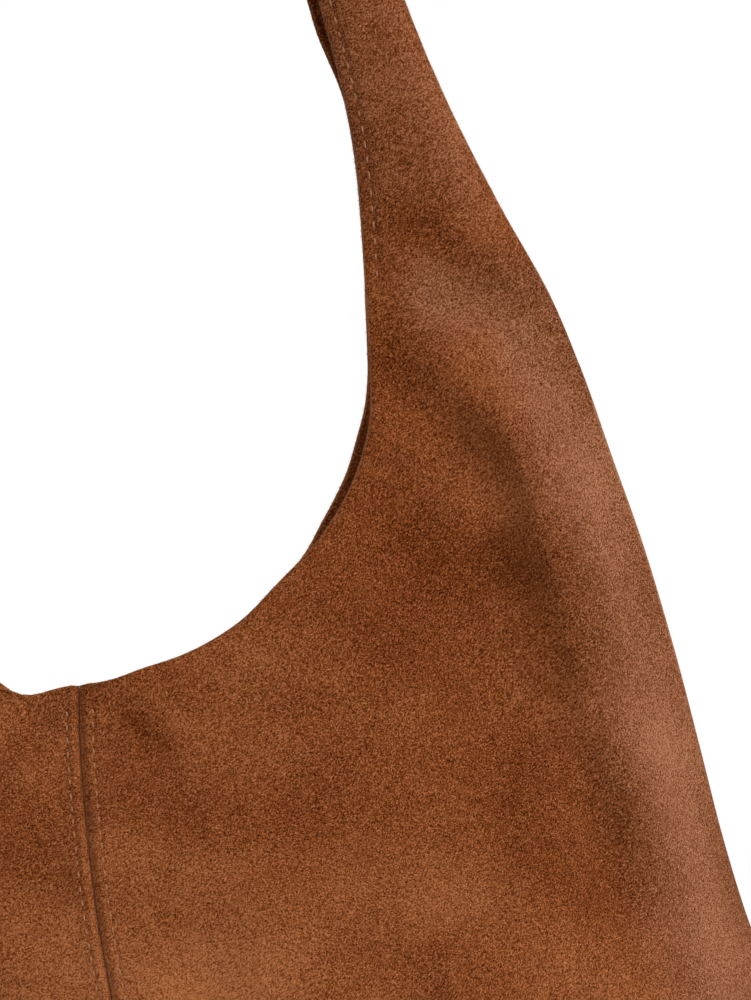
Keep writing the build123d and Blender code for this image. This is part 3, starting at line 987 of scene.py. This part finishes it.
def leather_material(name, dark, light):
    """Smooth leather with a fine pebbled grain."""
    n = Nodes(name)
    grain = n.node("TexVoronoi", Vector=n.mm, Scale=1.1).outputs["Distance"]
    broad = n.noise(0.08, 4, 0.6)
    tone = n.clamped(n.weigh([(broad, 0.7), (grain, 0.25)]))
    n.bump(grain, 0.35, 0.15)
    return n.set(Base_Color=n.ramp(tone, [(0.2, dark), (0.8, light)]), Roughness=0.5, Specular_IOR_Level=0.4)


def board_material(name):
    """Grey-black pressed board."""
    n = Nodes(name)
    speck = n.noise(1.6, 4, 0.7)
    n.bump(speck, 0.3, 0.1)
    return n.set(Base_Color=n.ramp(speck, [(0.3, srgb(28, 26, 24)), (0.8, srgb(52, 49, 46))]), Roughness=0.8)


def thread_material(name, dark, light):
    """Twisted polyester thread."""
    n = Nodes(name)
    twist = n.noise(3.2, 2, 0.5, n.stretch((0.6, 0.6, 0.8), (0.6, 0.4, 0.2)))
    n.bump(twist, 0.5, 0.12)
    return n.set(Base_Color=n.ramp(twist, [(0.3, dark), (0.75, light)]), Roughness=0.6, Specular_IOR_Level=0.3)


lining_look = cloth_material("lining_twill", srgb(124, 96, 70), srgb(168, 138, 108))
tape_look = cloth_material("zip_tape_weave", srgb(58, 34, 20), srgb(92, 58, 36), 0.4)
web_look = cloth_material("strap_tape_weave", srgb(50, 34, 22), srgb(80, 58, 40), 0.8)
brass = metal_material("aged_brass", srgb(196, 160, 100), srgb(132, 100, 56))
nickel = metal_material("brushed_nickel", srgb(196, 190, 182), srgb(140, 132, 124), 0.3)
welt_look = leather_material("welt_leather", srgb(88, 48, 26), srgb(124, 72, 42))
board_look = board_material("pressed_board")
thread_look = thread_material("tan_thread", srgb(138, 84, 50), srgb(184, 126, 86))


def dress(objects, material):
    """Gives objects one material in every slot."""
    for obj in objects:
        for i in range(len(obj.data.materials)):
            obj.data.materials[i] = material
        if not obj.data.materials:
            obj.data.materials.append(material)


# patches of painted shade (under 0) and painted highlight along the folds and dents, partly also nap brushed
# the other way, which looks darker or lighter
FRONT_NAP_AND_SHADE = (
    (119, 298, 27, 26, 14, -0.7), (100, 316, 14, 26, 12, -0.4), (88, 282, 22, 16, 10, -0.4),
    (97, 372, 8, 15, -8, -0.5), (116, 403, 24, 6, -32, -0.8), (112, 416, 12, 9, -30, -0.4),
    (103, 361, 14, 8, -20, -0.4), (133, 323, 12, 11, 0, 0.55), (114, 382, 24, 7, -20, 0.45),
    (77, 302, 10, 12, 0, -0.35), (36, 264, 14, 6, 0, -0.35), (140, 232, 25, 15, 10, -0.5),
    (170, 212, 8, 15, 6, -0.3), (20, 250, 13, 5, -45, -0.7), (-18, 246, 14, 6, 40, -0.4),
    (0, 228, 44, 9, -4, -0.4), (186, 238, 10, 40, 14, 0.6), (172, 292, 8, 28, 15, 0.55),
    (160, 330, 9, 30, 24, 0.45), (142, 364, 17, 15, -35, 0.6), (117, 440, 7, 36, 22, 0.45),
    (198, 196, 8, 36, 10, 0.5), (38, 207, 32, 11, 0, 0.3), (38, 174, 36, 17, 4, 1.1),
    (-10, 185, 22, 18, 0, 0.4), (70, 264, 26, 11, 6, -0.35), (88, 180, 16, 12, 0, -0.25),
    (76, 455, 5, 24, 16, -0.6), (-120, 306, 20, 40, -14, -0.5), (-70, 180, 40, 16, 0, 0.25),
    (-176, 240, 12, 40, -12, 0.3), (60, 110, 50, 20, 5, -0.3), (-60, 90, 60, 22, -4, -0.3),
    (150, 90, 40, 20, 12, 0.25),
)
BACK_NAP_AND_SHADE = (
    (120, 300, 20, 40, 14, -0.5), (-116, 306, 22, 36, -14, -0.45), (0, 220, 80, 14, 0, -0.3),
    (40, 176, 60, 16, 4, 0.35), (-90, 130, 50, 20, -6, 0.3), (60, 90, 70, 20, 3, -0.35),
    (182, 236, 12, 40, 14, 0.35), (-182, 236, 12, 40, -14, 0.35), (-40, 60, 60, 18, 0, 0.2),
)


def painted_sheen_share(x, z):
    """Share of the painted sheen, a paler colour: along the sides, over the strap's roots and on the strap."""
    sides = smooth(0.77, 0.9, np.abs(x) / outline_x(z)) * (1 - smooth(380, 410, z))
    roots = hump(z, 388.0, 14.0) * smooth(95, 112, np.abs(x))
    return np.maximum(np.maximum(sides, roots), 0.55 * smooth(395, 430, z))


for (face, hand), shell in SKINS.items():
    x, _, z = points_of(shell["obj"]).T
    # painted shade (under 0) and painted highlight along the folds and dents, with some brushed nap
    nap_and_shade = dents(x, z, FRONT_NAP_AND_SHADE if face == "front" else BACK_NAP_AND_SHADE)
    nap_and_shade += 0.22 * undulation(x, z, 53 if face == "front" else 59, 30, 80, 8)
    if face == "back":
        # painted shade on the strap's back layer, on its inside and its cut edge, where the front layer shades
        # it
        nap_and_shade -= 1.5 * smooth(440, 456, z) * (np.arange(len(z)) >= shell["points"][..., 0].size)
    set_attribute(shell["obj"], "nap_and_shade", nap_and_shade)
    # painted sheen round the sides, over the strap's roots and on the strap
    set_attribute(shell["obj"], "painted_sheen", painted_sheen_share(x, z))
dress([shell["obj"] for shell in SKINS.values()] + [base] + NAP_EDGES, suede)
dress(FACINGS + [closure, mound], inside_suede)
dress(LININGS, lining_look)
dress(THREADS, thread_look)
dress([magnet], nickel)
for look, names in (
    (nickel, ("snap_stud", "snap_stud_washer")),
    (brass, ("zip_teeth_upper", "zip_teeth_lower", "zip_stops", "zip_slider", "zip_pull")),
    (tape_look, ("zip_tape_upper", "zip_tape_lower")),
    (web_look, ("strap_webbing",)),
    (welt_look, ("zip_welt",)),
    (board_look, ("base_board",)),
):
    dress([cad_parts[name] for name in names], look)


# -------- stage, lights and camera
scene = bpy.context.scene
scene.view_settings.view_transform = "Standard"
world = bpy.data.worlds.new("studio")
world.use_nodes = True
tree = world.node_tree
lit = tree.nodes["Background"]  # what lights the bag
lit.inputs["Color"].default_value = (1, 1, 1, 1)
lit.inputs["Strength"].default_value = 0.18
seen = tree.nodes.new("ShaderNodeBackground")  # the white past the floor
seen.inputs["Color"].default_value = (1, 1, 1, 1)
rays = tree.nodes.new("ShaderNodeLightPath")
either = tree.nodes.new("ShaderNodeMixShader")
tree.links.new(rays.outputs["Is Camera Ray"], either.inputs["Fac"])
tree.links.new(lit.outputs["Background"], either.inputs[1])
tree.links.new(seen.outputs["Background"], either.inputs[2])
tree.links.new(either.outputs["Shader"], tree.nodes["World Output"].inputs["Surface"])
scene.world = world

FLOOR_RADIUS = 1150.0
turn = np.linspace(0, 2 * np.pi, 128, endpoint=False)
disc = np.stack([FLOOR_RADIUS * np.cos(turn), FLOOR_RADIUS * np.sin(turn), 0 * turn], 1)
floor = make_mesh("studio_floor", disc, [range(len(turn))])
floor.data.materials.append(Nodes("studio_paper").set(Base_Color=(0.93, 0.93, 0.925, 1), Roughness=0.9))


def aim(obj, place, target):
    """Puts a light or the camera at a place in metres, looking at a target."""
    obj.location = place
    obj.rotation_mode = "QUATERNION"
    obj.rotation_quaternion = (Vector(target) - Vector(place)).to_track_quat("-Z", "Y")
    scene.collection.objects.link(obj)


# name, place, target, size and power
for name, place, target, size, power in (
    ("key", (2.1, -0.75, 0.95), (0.05, 0, 0.28), 0.7, 49),
    ("top", (-0.1, -0.7, 2.1), (0, 0, 0.2), 0.9, 20),
    ("fill", (-1.4, -2.0, 0.7), (0, 0, 0.28), 1.4, 6),
    ("back", (-0.9, 1.9, 1.5), (0, 0, 0.28), 1.2, 26),
):
    light = bpy.data.lights.new(name, "AREA")
    light.size = size
    light.energy = power
    aim(bpy.data.objects.new(name, light), place, target)

EYE = (0.0, -1.25, 0.31)
TARGET = (0.0923, -0.02, 0.3223)
FRAME_HEIGHT = 0.3125  # metres that the picture takes in at the target, from top to bottom
camera = bpy.data.objects.new("camera", bpy.data.cameras.new("camera"))
aim(camera, EYE, TARGET)
camera.data.lens = camera.data.sensor_width / FRAME_HEIGHT * (Vector(TARGET) - Vector(EYE)).length
scene.camera = camera
